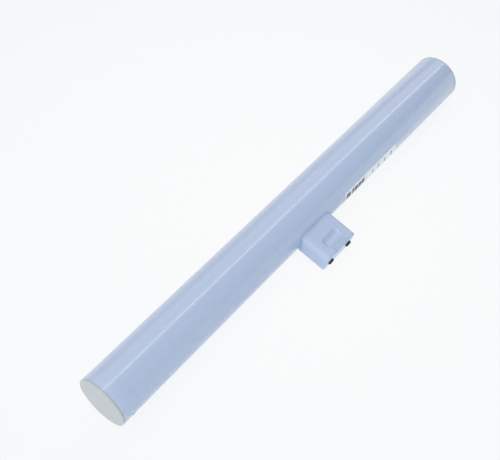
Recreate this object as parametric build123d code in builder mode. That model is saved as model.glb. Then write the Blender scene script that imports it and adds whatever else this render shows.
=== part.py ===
from build123d import *
from math import asin, atan2, cos, degrees, hypot, sin, sqrt
import os

# Straight tubular lamp with one plug base at mid-length, lying at rest on a table.
# Millimetres, +Z up, the table at Z = 0, X along the tube.

# Tube and end caps
lamp_length = 300.0
tube_diameter = 29.0
tube_wall = 1.5
tube_end_bevel = 0.25
cap_flange = 1.0
cap_rim_bevel = 0.3
spigot_length = 8.0
spigot_wall = 1.5
spigot_lead_in = 0.6
fit_clearance = 0.1
catch_hole_diameter = 2.2
catch_hole_inset = 6.9

# Base block and its neck through the tube wall
base_length = 26.2
base_thickness = 13.5
base_height = 17.8
base_corner = 3.75
base_edge_round = 0.9
shadow_gap = 1.0
neck_inset = 0.3

# Latch pocket and lead-in ramp on both broad faces of the base
pocket_width = 13.4
pocket_length = 6.2
pocket_depth = 1.5
pocket_end_round = 2.9
ridge_width = 0.4
ramp_length = 4.3
ramp_width = 10.6
ramp_depth = 1.2

# Contact studs on the outer face
contact_inset = 5.1
contact_diameter = 3.8
contact_height = 1.1
contact_bevel = 0.3
shank_diameter = 2.6
shank_length = 6.0

# Film label on the tube beside the base
label_gap = 15.4
label_length = 52.0
label_width = 13.2
label_thickness = 0.15
label_corner = 1.5

# The lamp leans until the rounded lower edge of its base touches the table beside the tube.
tube_radius = tube_diameter / 2
base_reach = tube_radius + base_height
edge_out = base_reach - base_edge_round
edge_down = base_thickness / 2 - base_edge_round
lean = asin((tube_radius - base_edge_round) / hypot(edge_out, edge_down)) - atan2(edge_down, edge_out)

# The origin is on the table under the middle of the lamp's box.
block_reach = edge_out * cos(lean) + edge_down * sin(lean) + base_edge_round
stud_reach = (base_reach + contact_height) * cos(lean) + (contact_diameter / 2 - contact_bevel) * sin(lean)
axis_y = (max(block_reach, stud_reach) - tube_radius) / 2
tube_centre = Vector(0, axis_y, tube_radius)

along = Vector(1, 0, 0)
outward = Vector(0, -cos(lean), -sin(lean))
broad_normal = Vector(0, -sin(lean), cos(lean))

# Local X runs along the tube, local Y is the upper broad face's normal, local Z points out of the base.
base_plane = Plane(origin=tube_centre, x_dir=along, z_dir=outward)
outer_face = base_plane.offset(base_reach)

bore_radius = tube_radius - tube_wall
contact_pitch = base_length - 2 * contact_inset
tube_length = lamp_length - 2 * cap_flange
neck_length = base_length - 2 * neck_inset
neck_thickness = base_thickness - 2 * neck_inset
neck_corner = base_corner - neck_inset
seat_reach = sqrt(tube_radius**2 - (neck_thickness / 2) ** 2) - tube_wall
clear_of_tube = tube_radius + shadow_gap


def cross_plane(x):
    """The plane across the tube at x, facing +X, with its Y axis along the base's direction."""
    return Plane(origin=tube_centre + along * x, x_dir=broad_normal, z_dir=along)


def end_plane(side):
    """The plane of one end of the lamp, facing into the tube."""
    end_centre = tube_centre + along * (side * lamp_length / 2)
    return Plane(origin=end_centre, x_dir=(0, 1, 0), z_dir=along * -side)


# Opal tube: sealed, with an open seat at each end for its cap and a window for the base's neck.
with BuildPart() as opal_tube:
    with BuildSketch(cross_plane(-tube_length / 2)):
        Circle(tube_radius)
    extrude(amount=tube_length)
    chamfer(opal_tube.edges().filter_by(GeomType.CIRCLE), tube_end_bevel)
    for side in (-1, 1):
        with BuildSketch(end_plane(side).offset(cap_flange)):
            Circle(bore_radius)
        extrude(amount=spigot_length + fit_clearance, mode=Mode.SUBTRACT)
    with BuildSketch(base_plane.offset(seat_reach)):
        RectangleRounded(
            neck_length + 2 * fit_clearance, neck_thickness + 2 * fit_clearance, neck_corner + fit_clearance
        )
    extrude(amount=tube_radius - seat_reach, mode=Mode.SUBTRACT)
    with BuildSketch(base_plane.offset(bore_radius - fit_clearance)):
        with Locations((catch_hole_inset - lamp_length / 2, 0)):
            Circle(catch_hole_diameter / 2)
    extrude(amount=tube_wall + 2 * fit_clearance, mode=Mode.SUBTRACT)

opal_tube.part.label = "opal_tube"


def make_end_cap(side):
    """A moulded cap: a flat flange flush with the tube, and a ring that plugs its bore."""
    face = end_plane(side)
    depth = Axis(face.origin, face.z_dir)
    spigot_radius = bore_radius - fit_clearance
    with BuildPart() as cap:
        with BuildSketch(face):
            Circle(tube_radius)
        extrude(amount=cap_flange)
        chamfer(cap.edges().sort_by(depth)[0], cap_rim_bevel)
        with BuildSketch(face.offset(cap_flange)):
            Circle(spigot_radius)
            Circle(spigot_radius - spigot_wall, mode=Mode.SUBTRACT)
        extrude(amount=spigot_length)
        chamfer(cap.edges().group_by(depth)[-1].sort_by(SortBy.RADIUS)[-1], spigot_lead_in)
    return cap


near_end_cap = make_end_cap(-1)
near_end_cap.part.label = "near_end_cap"
far_end_cap = make_end_cap(1)
far_end_cap.part.label = "far_end_cap"

# Base: a block that clears the tube by a shadow gap, on a neck that goes through the tube's window.
with BuildPart() as lamp_base:
    with BuildSketch(base_plane):
        RectangleRounded(base_length, base_thickness, base_corner)
    extrude(amount=base_reach)
    fillet(lamp_base.faces().sort_by(Axis(tube_centre, outward))[-1].edges(), base_edge_round)
    with BuildSketch(cross_plane(-base_length)):
        Circle(clear_of_tube)
    extrude(amount=2 * base_length, mode=Mode.SUBTRACT)
    with BuildSketch(base_plane.offset(seat_reach)):
        RectangleRounded(neck_length, neck_thickness, neck_corner)
    extrude(amount=clear_of_tube + neck_inset - seat_reach)

    scoop_radius = (pocket_length**2 / 4 + pocket_depth**2) / (2 * pocket_depth)
    end_run = sqrt(pocket_end_round**2 - (pocket_end_round - pocket_depth) ** 2)
    scoop_half = pocket_width / 2 - end_run + pocket_end_round
    ridge_reach = base_reach - ramp_length
    pocket_reach = ridge_reach - ridge_width - pocket_length / 2
    ramp_slope = atan2(ramp_depth, ramp_length)
    for side in (1, -1):
        face_normal = broad_normal * side
        face_middle = tube_centre + face_normal * (base_thickness / 2)
        # The pocket is a scoop with rounded ends, turned about an axis above the face.
        scoop_centre = face_middle + outward * pocket_reach + face_normal * (scoop_radius - pocket_depth)
        with BuildSketch(Plane(origin=scoop_centre, x_dir=along, z_dir=outward * side)) as scoop:
            Rectangle(2 * scoop_half, scoop_radius, align=(Align.CENTER, Align.MAX))
            fillet(scoop.vertices().group_by(Axis.Y)[0], pocket_end_round)
        revolve(axis=Axis(scoop_centre, along), mode=Mode.SUBTRACT)
        # The ramp sinks from the ridge to the outer face, and lifts the latch as the lamp goes in.
        ramp_floor = Plane(
            origin=face_middle + outward * ridge_reach,
            x_dir=along,
            z_dir=face_normal * cos(ramp_slope) + outward * sin(ramp_slope),
        )
        with BuildSketch(ramp_floor):
            Rectangle(ramp_width, 3 * ramp_length)
        extrude(amount=2 * ramp_depth, mode=Mode.SUBTRACT)

    with BuildSketch(outer_face):
        with GridLocations(contact_pitch, 0, 2, 1):
            Circle(shank_diameter / 2 + fit_clearance)
    extrude(amount=-(shank_length + fit_clearance), mode=Mode.SUBTRACT)

lamp_base.part.label = "lamp_base"


def make_contact(side):
    """A contact stud: a low round head on the base's outer face and a shank in its hole."""
    with BuildPart() as stud:
        with BuildSketch(outer_face):
            with Locations((side * contact_pitch / 2, 0)):
                Circle(contact_diameter / 2)
        extrude(amount=contact_height)
        chamfer(stud.edges().sort_by(Axis(tube_centre, outward))[-1], contact_bevel)
        with BuildSketch(outer_face):
            with Locations((side * contact_pitch / 2, 0)):
                Circle(shank_diameter / 2)
        extrude(amount=-shank_length)
    return stud


near_contact = make_contact(-1)
near_contact.part.label = "near_contact"
far_contact = make_contact(1)
far_contact.part.label = "far_contact"

# Label: a thin film wrapped on the tube, centred on the base's direction, with rounded corners.
label_turn = degrees(label_width / tube_radius)
label_from = 90 - label_turn / 2
label_start = base_length / 2 + label_gap
with BuildPart() as rating_label:
    with BuildSketch(cross_plane(label_start)):
        with BuildLine():
            inner = CenterArc((0, 0), tube_radius, label_from, label_turn)
            outer = CenterArc((0, 0), tube_radius + label_thickness, label_from, label_turn)
            Line(inner @ 0, outer @ 0)
            Line(inner @ 1, outer @ 1)
        make_face()
    extrude(amount=label_length)
    corner_edges = rating_label.edges().filter_by(lambda edge: edge.length < 2 * label_thickness)
    fillet(corner_edges, label_corner)

rating_label.part.label = "rating_label"

os.makedirs("parts", exist_ok=True)
export_step(opal_tube.part, "parts/opal_tube.step")
export_step(near_end_cap.part, "parts/near_end_cap.step")
export_step(far_end_cap.part, "parts/far_end_cap.step")
export_step(lamp_base.part, "parts/lamp_base.step")
export_step(near_contact.part, "parts/near_contact.step")
export_step(far_contact.part, "parts/far_contact.step")
export_step(rating_label.part, "parts/rating_label.step")
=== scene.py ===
"""Studio picture of a straight tubular lamp that lies on a pale table."""

import logging
import math
from contextlib import contextmanager
from dataclasses import dataclass, field
from enum import Enum
from functools import reduce
from typing import Callable, Iterator, Union

import bmesh
import bpy
from mathutils import Matrix, Vector


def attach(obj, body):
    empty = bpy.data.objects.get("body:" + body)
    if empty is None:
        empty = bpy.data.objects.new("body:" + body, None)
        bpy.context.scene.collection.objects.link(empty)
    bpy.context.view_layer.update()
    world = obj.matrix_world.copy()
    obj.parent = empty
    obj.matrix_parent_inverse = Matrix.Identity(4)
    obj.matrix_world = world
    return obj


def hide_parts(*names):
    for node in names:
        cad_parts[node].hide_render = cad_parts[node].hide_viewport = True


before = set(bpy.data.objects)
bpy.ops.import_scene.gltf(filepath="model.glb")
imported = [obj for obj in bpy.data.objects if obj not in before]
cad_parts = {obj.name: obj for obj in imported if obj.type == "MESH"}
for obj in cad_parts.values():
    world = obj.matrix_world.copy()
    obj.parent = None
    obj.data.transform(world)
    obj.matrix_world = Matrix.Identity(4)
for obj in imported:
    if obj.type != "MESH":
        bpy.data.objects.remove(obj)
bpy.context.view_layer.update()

LOG = logging.getLogger("tubular_lamp")
MM = 0.001
BODY = "root"
# A face looks along an axis where its normal's part along that axis is above this.
FACING = 0.9

Triple = tuple[float, float, float]
Colour = Triple
Span = tuple[float, float]
Picked = Union[bmesh.types.BMFace, bmesh.types.BMEdge]


class Side(Enum):
    """The two ends of the lamp, by the sign of X."""

    NEAR = -1
    FAR = 1


class Element(Enum):
    """What can be picked on a mesh, by the name of its list."""

    FACE = "faces"
    EDGE = "edges"


class Socket:
    """One value of a node tree that takes part in plain arithmetic."""

    def __init__(self, graph: "Graph", socket: bpy.types.NodeSocket) -> None:
        """Keeps the node tree and the socket.

        Args:
            graph: The node tree's wrapper.
            socket: The output that holds the value.
        """
        self.graph = graph
        self.socket = socket

    def _math(self, operation: str, first: "Value", second: "Value") -> "Socket":
        """Adds one Math node.

        Args:
            operation: The Math node's operation.
            first: The first value.
            second: The second value.

        Returns:
            The node's result.
        """
        return self.graph.node("ShaderNodeMath", {"operation": operation}, {0: first, 1: second})

    def __add__(self, other: "Value") -> "Socket":
        """Sum of both."""
        return self._math("ADD", self, other)

    def __radd__(self, other: "Value") -> "Socket":
        """Sum of both."""
        return self._math("ADD", other, self)

    def __sub__(self, other: "Value") -> "Socket":
        """This less the other."""
        return self._math("SUBTRACT", self, other)

    def __rsub__(self, other: "Value") -> "Socket":
        """The other less this."""
        return self._math("SUBTRACT", other, self)

    def __mul__(self, other: "Value") -> "Socket":
        """Product of both."""
        return self._math("MULTIPLY", self, other)

    def __rmul__(self, other: "Value") -> "Socket":
        """Product of both."""
        return self._math("MULTIPLY", other, self)

    def __truediv__(self, other: "Value") -> "Socket":
        """This over the other."""
        return self._math("DIVIDE", self, other)

    def __rtruediv__(self, other: "Value") -> "Socket":
        """The other over this."""
        return self._math("DIVIDE", other, self)

    def above(self, limit: "Value") -> "Socket":
        """1 where this is greater than the limit, else 0."""
        return self._math("GREATER_THAN", self, limit)

    def below(self, limit: "Value") -> "Socket":
        """1 where this is less than the limit, else 0."""
        return self._math("LESS_THAN", self, limit)

    def between(self, low: "Value", high: "Value") -> "Socket":
        """1 where this lies between two limits, else 0."""
        return self.above(low) * self.below(high)

    def larger(self, other: "Value") -> "Socket":
        """The larger of both."""
        return self._math("MAXIMUM", self, other)

    def sine(self) -> "Socket":
        """Sine of this, in radians."""
        return self._math("SINE", self, 0.0)


Value = Union[Socket, float, Triple, Vector]


class Graph:
    """The nodes of one material or world."""

    def __init__(self, tree: bpy.types.NodeTree) -> None:
        """Empties the tree.

        Args:
            tree: The node tree to fill.
        """
        self.tree = tree
        tree.nodes.clear()

    def _add(
        self, kind: str, settings: dict[str, object], inputs: dict[str | int, Value]
    ) -> bpy.types.Node:
        """Adds one node, with its settings made before its sockets are filled.

        Args:
            kind: The node's type.
            settings: Its properties; "stops" holds a ramp's places and colours.
            inputs: The value or link of each named or numbered socket.

        Returns:
            The node.
        """
        node = self.tree.nodes.new(kind)
        for name, setting in settings.items():
            if name == "stops":
                self._stops(node.color_ramp, setting)
            else:
                setattr(node, name, setting)
        for name, value in inputs.items():
            socket = node.inputs[name]
            if isinstance(value, Socket):
                self.tree.links.new(value.socket, socket)
            else:
                opaque = socket.type == "RGBA" and len(value) == 3
                socket.default_value = (*value, 1.0) if opaque else value
        return node

    @staticmethod
    def _stops(ramp: bpy.types.ColorRamp, stops: list[tuple[float, Colour]]) -> None:
        """Fills a colour ramp.

        Args:
            ramp: The ramp, with its two first stops.
            stops: Each stop's place and colour, in order.
        """
        while len(ramp.elements) < len(stops):
            ramp.elements.new(1.0)
        for element, (place, colour) in zip(ramp.elements, stops):
            element.position = place
            element.color = (*colour, 1.0)

    def node(
        self,
        kind: str,
        settings: dict[str, object] | None = None,
        inputs: dict[str | int, Value] | None = None,
        output: str | int = 0,
    ) -> Socket:
        """Adds one node and hands back one of its outputs.

        Args:
            kind: The node's type.
            settings: Its properties.
            inputs: The value or link of each socket.
            output: The name or number of the output.

        Returns:
            That output.
        """
        return Socket(self, self._add(kind, settings or {}, inputs or {}).outputs[output])

    def end(self, kind: str, shader: Socket) -> None:
        """Ends the tree in an output node.

        Args:
            kind: The output node's type.
            shader: What the surface or the world shows.
        """
        self._add(kind, {}, {"Surface": shader})

    def surface(self, inputs: dict[str | int, Value]) -> None:
        """Ends the tree in one principled surface.

        Args:
            inputs: The value or link of each of its sockets.
        """
        self.end("ShaderNodeOutputMaterial", self.node("ShaderNodeBsdfPrincipled", inputs=inputs))

    def place(self) -> Socket:
        """The point of the surface, in the lamp's own frame."""
        return self.node("ShaderNodeTexCoord", output="Object")

    def axis(self, point: Socket, name: str) -> Socket:
        """One of a point's three parts, by its letter."""
        return self.node("ShaderNodeSeparateXYZ", inputs={0: point}, output=name)

    def vector(
        self, operation: str, first: Value, second: Value | None = None, output: str = "Vector"
    ) -> Socket:
        """Adds one Vector Math node.

        Args:
            operation: The node's operation.
            first: The first vector.
            second: The second vector, if the operation has one.
            output: "Vector", or "Value" where the result is a number.

        Returns:
            The result.
        """
        inputs = {0: first} if second is None else {0: first, 1: second}
        return self.node("ShaderNodeVectorMath", {"operation": operation}, inputs, output)

    def along(self, point: Socket, origin: Vector, direction: Vector) -> Socket:
        """How far a point lies from an origin along a direction.

        Args:
            point: The point.
            origin: Where the distance is 0.
            direction: The unit direction.

        Returns:
            The distance in metres.
        """
        moved = self.vector("SUBTRACT", point, origin)
        return self.vector("DOT_PRODUCT", moved, direction, "Value")

    def noise(self, point: Socket, scale: Triple, detail: float, rough: float = 0.5) -> Socket:
        """A soft random pattern with its own scale along each axis.

        Args:
            point: The point of the surface.
            scale: Waves per metre along X, Y and Z.
            detail: Octaves of finer pattern.
            rough: The finer octaves' share.

        Returns:
            A value near 0.5.
        """
        mapped = self.node("ShaderNodeMapping", inputs={"Vector": point, "Scale": scale})
        return self.node(
            "ShaderNodeTexNoise",
            inputs={"Vector": mapped, "Scale": 1.0, "Detail": detail, "Roughness": rough},
        )

    def blend(self, share: Socket, first: Value, second: Value) -> Socket:
        """A colour between two.

        Args:
            share: 0 gives the first colour and 1 the second.
            first: The first colour.
            second: The second colour.

        Returns:
            The mixed colour.
        """
        sockets = {0: share, 6: first, 7: second}
        return self.node("ShaderNodeMix", {"data_type": "RGBA"}, sockets, 2)

    def bump(self, height: Socket, strength: float, distance: float) -> Socket:
        """A normal from a height pattern.

        Args:
            height: The pattern.
            strength: The bump's share, from 0 to 1.
            distance: The height of the pattern's 1, in metres.

        Returns:
            The normal.
        """
        return self.node(
            "ShaderNodeBump",
            inputs={"Height": height, "Strength": strength, "Distance": distance},
        )


def new_material(name: str) -> tuple[bpy.types.Material, Graph]:
    """Makes an empty material.

    Args:
        name: The finish's name.

    Returns:
        The material and its node tree's wrapper.
    """
    material = bpy.data.materials.new(name)
    material.use_nodes = True
    return material, Graph(material.node_tree)


def dress(piece: bpy.types.Object, material: bpy.types.Material) -> None:
    """Gives a piece its one material.

    Args:
        piece: The piece.
        material: What it wears.
    """
    piece.data.materials.clear()
    piece.data.materials.append(material)
    LOG.info("%s wears %s", piece.name, material.name)


@dataclass(frozen=True)
class LampPlace:
    """Where the lamp lies: on its tube, and on the rounded lower edge of its base."""

    tube_radius: float = 14.5 * MM
    base_height: float = 17.8 * MM
    base_thickness: float = 13.5 * MM
    base_edge_round: float = 0.9 * MM

    @property
    def base_reach(self) -> float:
        """From the tube's axis to the base's outer face."""
        return self.tube_radius + self.base_height

    @property
    def edge(self) -> Span:
        """The middle of the edge's round: how far out of the axis, and how far down."""
        inset = self.base_edge_round
        return self.base_reach - inset, self.base_thickness / 2 - inset

    @property
    def lean(self) -> float:
        """How far the base points down.

        Returns:
            The angle in radians.
        """
        out, down = self.edge
        drop = self.tube_radius - self.base_edge_round
        return math.asin(drop / math.hypot(out, down)) - math.atan2(down, out)

    @property
    def centre(self) -> Vector:
        """The middle of the tube's axis.

        Returns:
            The point in the row's frame.
        """
        out, down = self.edge
        reach = out * math.cos(self.lean) + down * math.sin(self.lean) + self.base_edge_round
        return Vector((0.0, (reach - self.tube_radius) / 2, self.tube_radius))

    @property
    def outward(self) -> Vector:
        """The way the base points."""
        return Vector((0.0, -math.cos(self.lean), -math.sin(self.lean)))

    @property
    def broad_normal(self) -> Vector:
        """The normal of the base's upper broad face."""
        return Vector((0.0, -math.sin(self.lean), math.cos(self.lean)))

    def point(self, x: float, out: float, up: float) -> Vector:
        """A point of the lamp.

        Args:
            x: Along the tube.
            out: Along the base's direction, from the tube's axis.
            up: Along the base's broad normal.

        Returns:
            The point in the row's frame.
        """
        return self.centre + Vector((x, 0.0, 0.0)) + self.outward * out + self.broad_normal * up

    def off_axis(self, spot: Vector) -> float:
        """How far a point lies from the tube's axis.

        Args:
            spot: The point in the row's frame.

        Returns:
            The distance in metres.
        """
        centre = self.centre
        return math.hypot(spot.y - centre.y, spot.z - centre.z)


class Bench:
    """The modelling tools as they are used by hand."""

    @staticmethod
    def clear() -> None:
        """Leaves nothing selected."""
        bpy.ops.object.select_all(action="DESELECT")

    @staticmethod
    def take(piece: bpy.types.Object) -> None:
        """Makes one piece the only selected and the active one.

        Args:
            piece: The piece.
        """
        Bench.clear()
        piece.select_set(True)
        bpy.context.view_layer.objects.active = piece

    @staticmethod
    @contextmanager
    def editing(piece: bpy.types.Object) -> Iterator[None]:
        """Opens a piece in edit mode for a while.

        Args:
            piece: The piece.
        """
        Bench.take(piece)
        bpy.ops.object.mode_set(mode="EDIT")
        try:
            yield
        finally:
            bpy.ops.object.mode_set(mode="OBJECT")

    @staticmethod
    def pick(piece: bpy.types.Object, element: Element, wanted: Callable[[Picked], bool]) -> None:
        """Selects only the faces or edges that pass a test, in edit mode.

        Args:
            piece: The piece being edited.
            element: What is picked.
            wanted: The test.
        """
        bpy.ops.mesh.select_mode(type=element.name)
        bpy.ops.mesh.select_all(action="DESELECT")
        mesh = bmesh.from_edit_mesh(piece.data)
        for item in getattr(mesh, element.value):
            item.select_set(wanted(item))
        bmesh.update_edit_mesh(piece.data)

    @staticmethod
    def draw_out(x: float) -> None:
        """Extrudes the picked faces along the tube.

        Args:
            x: How far, with its sign.
        """
        bpy.ops.mesh.extrude_region_move(TRANSFORM_OT_translate={"value": (x, 0.0, 0.0)})

    @staticmethod
    def settle() -> None:
        """Moves the selected piece's place, turn and size into its mesh."""
        bpy.ops.object.transform_apply(location=True, rotation=True, scale=True)

    @staticmethod
    def rod(
        name: str, radius: float, start: Vector, end: Vector, segments: int
    ) -> bpy.types.Object:
        """Adds a round rod between two points, with its place in its mesh.

        Args:
            name: The new piece's name.
            radius: Its radius.
            start: The middle of one end.
            end: The middle of the other end.
            segments: Facets round it.

        Returns:
            The rod.
        """
        Bench.clear()
        run = end - start
        bpy.ops.mesh.primitive_cylinder_add(
            vertices=segments,
            radius=radius,
            depth=run.length,
            location=(start + end) / 2,
            rotation=run.to_track_quat("Z", "Y").to_euler(),
        )
        made = bpy.context.active_object
        made.name = name
        made.data.name = name
        Bench.settle()
        return made

    @staticmethod
    def cut(piece: bpy.types.Object, cutter: bpy.types.Object) -> None:
        """Cuts one piece with another, which is then thrown away.

        Args:
            piece: The piece that is cut.
            cutter: The cutting piece.
        """
        Bench.take(piece)
        change = piece.modifiers.new("cut", "BOOLEAN")
        change.operation = "DIFFERENCE"
        change.solver = "EXACT"
        change.object = cutter
        bpy.ops.object.modifier_apply(modifier=change.name)
        waste = cutter.data
        bpy.data.objects.remove(cutter)
        bpy.data.meshes.remove(waste)

    @staticmethod
    def smooth(piece: bpy.types.Object, degrees: float) -> None:
        """Shades a piece smooth, with sharp edges kept crisp.

        Args:
            piece: The piece.
            degrees: Edges that turn by more than this stay crisp.
        """
        Bench.take(piece)
        bpy.ops.object.shade_smooth_by_angle(angle=math.radians(degrees))


@dataclass(frozen=True)
class OpalPlastic:
    """Extruded opal plastic: faint lengthwise die lines under a semi-gloss skin."""

    name: str = "opal_extrusion"
    tone: Colour = (0.455, 0.56, 0.765)
    line_tone: Colour = (0.47, 0.575, 0.78)
    roughness: float = 0.26
    roughness_swing: float = 0.08
    ior: float = 1.49
    specular: float = 0.45
    gloss: float = 0.45
    gloss_roughness: float = 0.06
    line_scale: Triple = (2.0, 420.0, 420.0)
    line_detail: float = 4.0
    line_share: float = 0.7
    line_bump: float = 0.1
    line_height: float = 0.006 * MM
    mottle_scale: Triple = (60.0, 60.0, 60.0)
    mottle_detail: float = 5.0

    def material(self) -> bpy.types.Material:
        """Builds the finish.

        Returns:
            The material.
        """
        material, graph = new_material(self.name)
        point = graph.place()
        lines = graph.noise(point, self.line_scale, self.line_detail)
        mottle = graph.noise(point, self.mottle_scale, self.mottle_detail)
        share = lines * self.line_share + mottle * (1.0 - self.line_share)
        graph.surface({
            "Base Color": graph.blend(share, self.tone, self.line_tone),
            "Roughness": self.roughness + self.roughness_swing * (share - 0.5),
            "IOR": self.ior,
            "Specular IOR Level": self.specular,
            "Coat Weight": self.gloss + self.gloss * (mottle - 0.5),
            "Coat Roughness": self.gloss_roughness,
            "Normal": graph.bump(lines, self.line_bump, self.line_height),
        })
        return material


@dataclass(frozen=True)
class MouldedPlastic:
    """Moulded plastic with a fine spark-eroded grain."""

    name: str
    tone: Colour
    grain_tone: Colour
    roughness: float
    gloss: float
    gloss_roughness: float = 0.12
    ior: float = 1.5
    grain_scale: Triple = (2600.0, 2600.0, 2600.0)
    grain_detail: float = 4.0
    grain_rough: float = 0.6
    grain_share: float = 0.4
    grain_swing: float = 0.12
    grain_bump: float = 0.25
    grain_height: float = 0.03 * MM
    cloud_scale: Triple = (90.0, 90.0, 90.0)
    cloud_detail: float = 2.0
    cloud_swing: float = 0.06

    def material(self) -> bpy.types.Material:
        """Builds the finish.

        Returns:
            The material.
        """
        material, graph = new_material(self.name)
        point = graph.place()
        grain = graph.noise(point, self.grain_scale, self.grain_detail, self.grain_rough)
        cloud = graph.noise(point, self.cloud_scale, self.cloud_detail)
        share = grain * self.grain_share + cloud * (1.0 - self.grain_share)
        swing = self.grain_swing * (grain - 0.5) + self.cloud_swing * (cloud - 0.5)
        graph.surface({
            "Base Color": graph.blend(share, self.tone, self.grain_tone),
            "Roughness": self.roughness + swing,
            "IOR": self.ior,
            "Coat Weight": self.gloss + self.gloss / 2 * (cloud - 0.5),
            "Coat Roughness": self.gloss_roughness,
            "Normal": graph.bump(grain, self.grain_bump, self.grain_height),
        })
        return material


CAP_PLASTIC = MouldedPlastic(
    name="cap_moulding",
    tone=(0.485, 0.53, 0.57),
    grain_tone=(0.51, 0.55, 0.59),
    roughness=0.42,
    gloss=0.1,
)
BASE_PLASTIC = MouldedPlastic(
    name="base_moulding",
    tone=(0.46, 0.565, 0.765),
    grain_tone=(0.475, 0.58, 0.78),
    roughness=0.32,
    gloss=0.3,
)


@dataclass(frozen=True)
class PlatedMetal:
    """Contact metal in a near-black tone, with the rings of its turning."""

    centre: Vector
    axis: Vector
    name: str
    tone: Colour = (0.02, 0.02, 0.022)
    ring_tone: Colour = (0.05, 0.05, 0.052)
    metallic: float = 0.6
    roughness: float = 0.34
    ring_pitch: float = 0.18 * MM
    ring_share: float = 0.4
    ring_bump: float = 0.2
    ring_height: float = 0.02 * MM
    tarnish_scale: Triple = (700.0, 700.0, 700.0)
    tarnish_detail: float = 4.0
    tarnish_swing: float = 0.2

    def material(self) -> bpy.types.Material:
        """Builds the finish.

        Returns:
            The material.
        """
        material, graph = new_material(self.name)
        point = graph.place()
        offset = graph.vector("SUBTRACT", point, self.centre)
        across = graph.vector("CROSS_PRODUCT", offset, self.axis)
        radius = graph.vector("LENGTH", across, output="Value")
        rings = (radius * (math.tau / self.ring_pitch)).sine() * 0.5 + 0.5
        tarnish = graph.noise(point, self.tarnish_scale, self.tarnish_detail)
        share = rings * self.ring_share + tarnish * (1.0 - self.ring_share)
        graph.surface({
            "Base Color": graph.blend(share, self.tone, self.ring_tone),
            "Metallic": self.metallic,
            "Roughness": self.roughness + self.tarnish_swing * (tarnish - 0.5),
            "Normal": graph.bump(rings, self.ring_bump, self.ring_height),
        })
        return material


@dataclass(frozen=True)
class PrintRow:
    """A row of plain printed bars: its span up the label, and each bar's span along the tube."""

    height_mm: Span
    bars_mm: tuple[Span, ...]

    def mask(self, along: Socket, up: Socket) -> Socket:
        """Where the row is printed.

        Args:
            along: The place along the tube.
            up: The place along the base's broad normal.

        Returns:
            1 on a bar, else 0.
        """
        bars = [along.between(start * MM, end * MM) for start, end in self.bars_mm]
        low, high = self.height_mm
        return reduce(Socket.larger, bars) * up.between(low * MM, high * MM)


@dataclass(frozen=True)
class LabelFilm:
    """Satin film label with plain printed bars."""

    place: LampPlace
    name: str = "label_film"
    tone: Colour = (0.87, 0.9, 0.94)
    fibre_tone: Colour = (0.9, 0.925, 0.96)
    ink: Colour = (0.02, 0.021, 0.025)
    ink_cover: float = 0.9
    ink_gloss: float = 0.08
    roughness: float = 0.42
    fibre_scale: Triple = (1500.0, 1500.0, 1500.0)
    fibre_detail: float = 3.0
    fibre_swing: float = 0.1
    fibre_bump: float = 0.1
    fibre_height: float = 0.02 * MM
    rows: tuple[PrintRow, ...] = (
        PrintRow(
            (0.6, 4.9),
            ((29.8, 33.8), (35.2, 37.2), (37.7, 41.1), (41.6, 44.4), (44.9, 47.6)),
        ),
        PrintRow(
            (1.0, 4.4),
            ((55.8, 56.7), (61.8, 62.7), (68.3, 69.2), (74.9, 76.1)),
        ),
    )

    def material(self) -> bpy.types.Material:
        """Builds the finish.

        Returns:
            The material.
        """
        material, graph = new_material(self.name)
        point = graph.place()
        along = graph.axis(point, "X")
        up = graph.along(point, self.place.centre, self.place.broad_normal)
        printed = reduce(Socket.larger, [row.mask(along, up) for row in self.rows])
        fibre = graph.noise(point, self.fibre_scale, self.fibre_detail)
        film = graph.blend(fibre, self.tone, self.fibre_tone)
        cover = printed * (self.ink_cover + (1.0 - self.ink_cover) * fibre)
        grain = self.fibre_swing * (fibre - 0.5)
        graph.surface({
            "Base Color": graph.blend(cover, film, self.ink),
            "Roughness": self.roughness + grain - self.ink_gloss * printed,
            "Normal": graph.bump(fibre, self.fibre_bump, self.fibre_height),
        })
        return material


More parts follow.
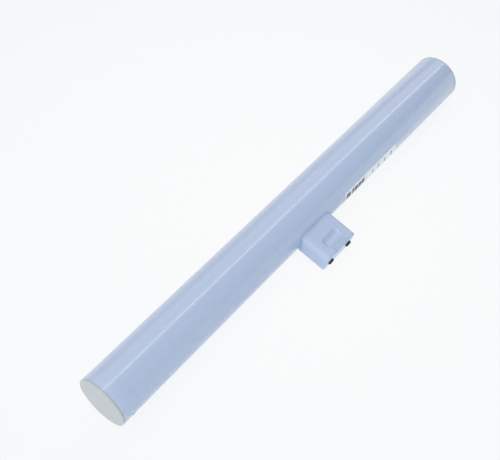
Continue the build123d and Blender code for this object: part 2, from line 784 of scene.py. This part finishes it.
@dataclass
class Tube:
    """The opal tube, with a seat at each end, the base's window and the small hole near one end."""

    place: LampPlace
    finish: OpalPlastic = field(default_factory=OpalPlastic)
    length: float = 298.0 * MM
    wall: float = 1.5 * MM
    end_bevel: float = 0.25 * MM
    end_bevel_steps: int = 2
    seat_depth: float = 8.1 * MM
    segments: int = 192
    crisp_degrees: float = 30.0
    hole_radius: float = 1.1 * MM
    hole_inset: float = 5.9 * MM
    hole_segments: int = 40
    window_length: float = 25.8 * MM
    window_thickness: float = 13.1 * MM
    window_corner: float = 3.55 * MM
    window_corner_steps: int = 6

    @property
    def hole_x(self) -> float:
        """The small hole's place along the tube."""
        return -self.length / 2 + self.hole_inset

    @property
    def mid_wall(self) -> float:
        """The radius half way through the wall."""
        return self.place.tube_radius - self.wall / 2

    def build(self) -> bpy.types.Object:
        """Models the tube.

        Returns:
            The finished piece.
        """
        radius, centre = self.place.tube_radius, self.place.centre
        half = Vector((self.length / 2, 0.0, 0.0))
        tube = Bench.rod("tube_skin", radius, centre - half, centre + half, self.segments)
        with Bench.editing(tube):
            self._seat_ends(tube)
            self._bevel_ends(tube)
            self._add_sections()
        Bench.cut(tube, self._hole_cutter())
        Bench.cut(tube, self._window_cutter())
        Bench.smooth(tube, self.crisp_degrees)
        dress(tube, self.finish.material())
        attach(tube, BODY)
        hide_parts("opal_tube")
        return tube

    def _seat_ends(self, tube: bpy.types.Object) -> None:
        """Sinks a round seat into each end.

        Args:
            tube: The tube being edited.
        """
        Bench.pick(tube, Element.FACE, lambda face: abs(face.normal.x) > FACING)
        bpy.ops.mesh.inset(thickness=self.wall, depth=0.0)
        for side in Side:
            Bench.pick(tube, Element.FACE, lambda face: self._is_seat(face, side))
            Bench.draw_out(-side.value * self.seat_depth)

    def _is_seat(self, face: bmesh.types.BMFace, side: Side) -> bool:
        """Whether a face is the round middle of one end.

        Args:
            face: The face.
            side: The end.

        Returns:
            The answer.
        """
        inside = all(self.place.off_axis(vert.co) < self.mid_wall for vert in face.verts)
        return inside and face.normal.x * side.value >= FACING

    def _bevel_ends(self, tube: bpy.types.Object) -> None:
        """Takes the sharp outer edge off each end.

        Args:
            tube: The tube being edited.
        """
        Bench.pick(tube, Element.EDGE, self._is_rim)
        bpy.ops.mesh.bevel(offset=self.end_bevel, segments=self.end_bevel_steps, affect="EDGES")

    def _is_rim(self, edge: bmesh.types.BMEdge) -> bool:
        """Whether an edge is on an outer rim.

        Args:
            edge: The edge.

        Returns:
            The answer.
        """
        first, second = (vert.co for vert in edge.verts)
        at_end = abs(first.x) > self.length / 2 - self.end_bevel
        level = abs(first.x - second.x) < self.end_bevel
        return at_end and level and all(
            self.place.off_axis(spot) > self.mid_wall for spot in (first, second)
        )

    def _add_sections(self) -> None:
        """Divides the skin beside the small hole and beside the base's window."""
        for x in (self.hole_x + 2 * self.hole_radius, -self.window_length, self.window_length):
            bpy.ops.mesh.select_all(action="SELECT")
            bpy.ops.mesh.bisect(plane_co=(x, 0.0, 0.0), plane_no=(1.0, 0.0, 0.0))

    def _hole_cutter(self) -> bpy.types.Object:
        """Makes a rod through the wall, where the small hole goes.

        Returns:
            The rod.
        """
        place = self.place
        inner = place.point(self.hole_x, place.tube_radius - 2 * self.wall, 0.0)
        outer = place.point(self.hole_x, place.tube_radius + self.wall, 0.0)
        return Bench.rod("hole_cutter", self.hole_radius, inner, outer, self.hole_segments)

    def _window_cutter(self) -> bpy.types.Object:
        """Makes a block with rounded corners, where the base's neck goes through the wall.

        Returns:
            The block.
        """
        place = self.place
        floor = math.sqrt(place.tube_radius**2 - (self.window_thickness / 2) ** 2) - self.wall
        top = place.tube_radius + self.wall
        Bench.clear()
        bpy.ops.mesh.primitive_cube_add(size=1.0)
        block = bpy.context.active_object
        block.name = "window_cutter"
        block.scale = (self.window_length, self.window_thickness, top - floor)
        Bench.settle()
        with Bench.editing(block):
            Bench.pick(block, Element.EDGE, self._is_upright)
            bpy.ops.mesh.bevel(
                offset=self.window_corner, segments=self.window_corner_steps, affect="EDGES"
            )
        turn = Matrix((Vector((1.0, 0.0, 0.0)), place.broad_normal, place.outward)).transposed()
        middle = Matrix.Translation(place.point(0.0, (floor + top) / 2, 0.0))
        block.matrix_world = middle @ turn.to_4x4()
        Bench.take(block)
        Bench.settle()
        return block

    def _is_upright(self, edge: bmesh.types.BMEdge) -> bool:
        """Whether an edge of the window's block goes through the wall.

        Args:
            edge: The edge.

        Returns:
            The answer.
        """
        first, second = edge.verts
        return abs(first.co.z - second.co.z) > self.wall


@dataclass
class EndCaps:
    """The two flat caps, each with a ring that plugs the tube."""

    place: LampPlace
    finish: MouldedPlastic = CAP_PLASTIC
    lamp_length: float = 300.0 * MM
    flange: float = 1.0 * MM
    rim_round: float = 0.3 * MM
    rim_steps: int = 5
    seam_bevel: float = 0.15 * MM
    seam_steps: int = 2
    ring_inset: float = 1.6 * MM
    ring_wall: float = 1.5 * MM
    ring_depth: float = 8.0 * MM
    segments: int = 192
    crisp_degrees: float = 40.0

    def build(self) -> list[bpy.types.Object]:
        """Models the near cap, and turns a copy of it round for the far end.

        Returns:
            Both finished pieces.
        """
        near = self._near_cap()
        far = near.copy()
        far.data = near.data.copy()
        far.name = far.data.name = "far_cap_shell"
        bpy.context.scene.collection.objects.link(far)
        with Bench.editing(far):
            bpy.ops.mesh.select_all(action="SELECT")
            bpy.ops.transform.rotate(
                value=math.pi, orient_axis="Z", center_override=self.place.centre
            )
        material = self.finish.material()
        for cap, node in ((near, "near_end_cap"), (far, "far_end_cap")):
            dress(cap, material)
            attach(cap, BODY)
            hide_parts(node)
        return [near, far]

    def _near_cap(self) -> bpy.types.Object:
        """Models the cap at the near end.

        Returns:
            The cap, not yet dressed.
        """
        outer = self.place.centre - Vector((self.lamp_length / 2, 0.0, 0.0))
        inner = outer + Vector((self.flange, 0.0, 0.0))
        cap = Bench.rod("near_cap_shell", self.place.tube_radius, outer, inner, self.segments)
        rounds = (
            (outer.x, self.rim_round, self.rim_steps),
            (inner.x, self.seam_bevel, self.seam_steps),
        )
        with Bench.editing(cap):
            Bench.pick(cap, Element.FACE, lambda face: face.normal.x > FACING)
            bpy.ops.mesh.inset(thickness=self.ring_inset, depth=0.0)
            Bench.draw_out(self.ring_depth)
            bpy.ops.mesh.inset(thickness=self.ring_wall, depth=0.0)
            Bench.draw_out(-self.ring_depth)
            for x, size, steps in rounds:
                Bench.pick(cap, Element.EDGE, lambda edge: self._on_rim(edge, x))
                bpy.ops.mesh.bevel(offset=size, segments=steps, affect="EDGES")
        Bench.smooth(cap, self.crisp_degrees)
        return cap

    def _on_rim(self, edge: bmesh.types.BMEdge, x: float) -> bool:
        """Whether an edge runs round the flange's outside at x.

        Args:
            edge: The edge.
            x: The place along the tube.

        Returns:
            The answer.
        """
        near = self.seam_bevel / 2
        return all(
            abs(vert.co.x - x) < near
            and self.place.off_axis(vert.co) > self.place.tube_radius - near
            for vert in edge.verts
        )


@dataclass
class PlugBase:
    """The moulded base with its two contact studs."""

    place: LampPlace
    finish: MouldedPlastic = BASE_PLASTIC
    contact_offset: float = 8.0 * MM

    def dress(self) -> list[bpy.types.Object]:
        """Dresses the base and the studs.

        Returns:
            The dressed nodes.
        """
        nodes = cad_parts
        base = nodes["lamp_base"]
        dress(base, self.finish.material())
        dressed = [base]
        for side, name in ((Side.NEAR, "near_contact"), (Side.FAR, "far_contact")):
            offset = side.value * self.contact_offset
            centre = self.place.point(offset, self.place.base_reach, 0.0)
            metal = PlatedMetal(centre, self.place.outward, f"plated_{name}")
            dress(nodes[name], metal.material())
            dressed.append(nodes[name])
        return dressed


@dataclass
class RatingLabel:
    """The film label on the tube."""

    finish: LabelFilm

    def dress(self) -> bpy.types.Object:
        """Dresses the label.

        Returns:
            The dressed node.
        """
        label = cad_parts["rating_label"]
        dress(label, self.finish.material())
        return label


@dataclass(frozen=True)
class Softbox:
    """One flat rectangular lamp over the table."""

    name: str
    middle: Vector
    aim: Vector
    width: float
    depth: float
    level: float
    colour: Colour

    def build(self) -> None:
        """Adds the lamp."""
        data = bpy.data.lights.new(self.name, "AREA")
        data.shape = "RECTANGLE"
        data.size, data.size_y = self.width, self.depth
        data.energy = self.level * math.pi * self.width * self.depth
        data.color = self.colour
        lamp = bpy.data.objects.new(self.name, data)
        bpy.context.scene.collection.objects.link(lamp)
        lamp.location = self.middle
        lamp.rotation_euler = (self.aim - self.middle).to_track_quat("-Z", "Y").to_euler()
        LOG.info("%s is lit", self.name)


@dataclass
class Studio:
    """The pale table, the room's soft light, the lamps and the camera."""

    place: LampPlace
    floor_size: float = 8.0
    floor_tone: Colour = (0.93, 0.94, 0.95)
    # Painted pool of light: the seen table shows the first white round the lamp and fades to the
    # second white over the given reach; the second white also tints the room.
    white: Colour = (0.975, 0.985, 0.985)
    far_white: Colour = (0.895, 0.92, 0.945)
    painted_pool_reach: float = 0.35
    shadow_share: float = 0.07
    sky: tuple[Span, ...] = (
        (0.0, 1.0), (0.06, 1.0), (0.11, 0.1), (0.25, 0.18), (0.45, 0.3), (0.7, 0.31), (1.0, 0.34),
    )
    back_sky: tuple[Span, ...] = (
        (0.0, 1.0), (0.02, 1.0), (0.07, 0.46), (0.2, 0.52), (0.45, 0.7), (0.6, 0.68), (0.8, 0.34),
    )
    back: Vector = field(default_factory=lambda: Vector((0.5, 0.866, 0.0)))
    front: Vector = field(default_factory=lambda: Vector((-0.6, -0.8, 0.0)))
    front_tone: Colour = (1.24, 1.32, 1.34)
    fill_tone: Colour = (1.0, 1.0, 1.0)
    key_tone: Colour = (1.07, 0.98, 0.91)
    key_level: float = 0.7
    key_height: float = 1.0
    key_tilt: float = math.radians(0.8)
    key_width: float = 5.6
    key_depth: float = 1.5
    key_shift: float = 1.0
    strip_level: float = 3.7
    strip_depth: float = 0.1
    strip_drop: float = 0.01
    strip_tilt: float = math.radians(1.5)
    end_place: Vector = field(default_factory=lambda: Vector((-1.5, -0.3, 0.6)))
    end_size: float = 1.2
    end_level: float = 0.95
    lens: float = 61.51
    sensor: float = 36.0
    near_clip: float = 0.01
    eye: Vector = field(default_factory=lambda: Vector((-254.3, -175.3, 362.9)) * MM)
    look: Vector = field(default_factory=lambda: Vector((0.4910, 0.4002, -0.7738)))

    def build(self) -> None:
        """Sets up the stage, the light and the camera."""
        self._floor()
        self._room()
        for lamp in self._lamps():
            lamp.build()
        self._camera()
        bpy.context.scene.view_settings.view_transform = "Standard"

    def _floor(self) -> None:
        """Lays the table, which looks white with a painted pool of light, brightest round the lamp
        and greyer further out, and keeps a faint shadow.
        """
        Bench.clear()
        bpy.ops.mesh.primitive_plane_add(size=self.floor_size)
        floor = bpy.context.active_object
        floor.name = "table"
        material, graph = new_material("pale_table")
        rays = [
            graph.node("ShaderNodeLightPath", output=f"Is {kind} Ray")
            for kind in ("Camera", "Glossy", "Transmission")
        ]
        share = reduce(Socket.larger, rays) * (1.0 - self.shadow_share)
        distance = graph.vector("LENGTH", graph.place(), output="Value")
        # Painted pool of light: the seen table is whiter near the lamp and greyer further out.
        white = graph.blend(distance / self.painted_pool_reach, self.white, self.far_white)
        matt = graph.node("ShaderNodeBsdfDiffuse", inputs={"Color": self.floor_tone})
        bright = graph.node("ShaderNodeEmission", inputs={"Color": white, "Strength": 1.0})
        shader = graph.node("ShaderNodeMixShader", inputs={0: share, 1: matt, 2: bright})
        graph.end("ShaderNodeOutputMaterial", shader)
        dress(floor, material)

    def _room(self) -> None:
        """Makes the room: white at the horizon, dim overhead, brighter behind and to the front."""
        world = bpy.data.worlds.new("studio")
        bpy.context.scene.world = world
        world.use_nodes = True
        graph = Graph(world.node_tree)
        way = graph.node("ShaderNodeTexCoord", output="Generated")
        up = graph.axis(way, "Z")
        around, rear = (self._tone_by_height(graph, up, sky) for sky in (self.sky, self.back_sky))
        tone = graph.blend(self._towards(graph, way, self.back), around, rear)
        tone = graph.blend(self._towards(graph, way, self.front), tone, self.front_tone)
        shader = graph.node("ShaderNodeBackground", inputs={"Color": tone, "Strength": 1.0})
        graph.end("ShaderNodeOutputWorld", shader)

    def _tone_by_height(self, graph: Graph, up: Socket, sky: tuple[Span, ...]) -> Socket:
        """The room's tone from the horizon to the zenith.

        Args:
            graph: The room's nodes.
            up: The height of the direction, from 0 to 1.
            sky: The brightness at each height.

        Returns:
            The tone.
        """
        stops = [(height, tuple(level * part for part in self.far_white)) for height, level in sky]
        return graph.node("ShaderNodeValToRGB", {"stops": stops}, {0: up})

    @staticmethod
    def _towards(graph: Graph, way: Socket, side: Vector) -> Socket:
        """How far a direction points to one side of the room.

        Args:
            graph: The room's nodes.
            way: The direction.
            side: The side's unit direction.

        Returns:
            A share that falls smoothly from 1 on that side to 0 across it.
        """
        lean = graph.along(way, Vector(), side).larger(0.0)
        return lean * lean

    def _lamps(self) -> list[Softbox]:
        """The lamps: a wide one over the table, a brighter strip near its edge, and one at the end.

        Returns:
            The lamps, not yet added.
        """
        centre = self.place.centre
        over = self.key_height + centre.z
        key_edge, strip_edge = (
            centre.y + self.key_height * math.tan(tilt) for tilt in (self.key_tilt, self.strip_tilt)
        )
        key = Vector((self.key_shift, key_edge + self.key_depth / 2, over))
        strip = Vector((self.key_shift, strip_edge + self.strip_depth / 2, over - self.strip_drop))
        down = Vector((0.0, 0.0, -1.0))
        return [
            Softbox(
                "overhead_softbox", key, key + down,
                self.key_width, self.key_depth, self.key_level, self.key_tone,
            ),
            Softbox(
                "overhead_strip", strip, strip + down,
                self.key_width, self.strip_depth, self.strip_level, self.fill_tone,
            ),
            Softbox(
                "end_softbox", self.end_place, centre,
                self.end_size, self.end_size, self.end_level, self.fill_tone,
            ),
        ]

    def _camera(self) -> None:
        """Places the camera."""
        data = bpy.data.cameras.new("camera")
        data.lens = self.lens
        data.sensor_width = self.sensor
        data.clip_start = self.near_clip
        camera = bpy.data.objects.new("camera", data)
        bpy.context.scene.collection.objects.link(camera)
        camera.location = self.place.centre + self.eye
        camera.rotation_euler = self.look.to_track_quat("-Z", "Y").to_euler()
        bpy.context.scene.camera = camera


def main() -> None:
    """Builds the lamp's pieces in order, then the studio."""
    logging.basicConfig(level=logging.INFO)
    place = LampPlace()
    pieces = [Tube(place).build()]
    pieces += EndCaps(place).build()
    pieces += PlugBase(place).dress()
    pieces.append(RatingLabel(LabelFilm(place)).dress())
    for piece in pieces:
        LOG.info("%s has %d faces", piece.name, len(piece.data.polygons))
    Studio(place).build()


if __name__ == "__main__":
    main()
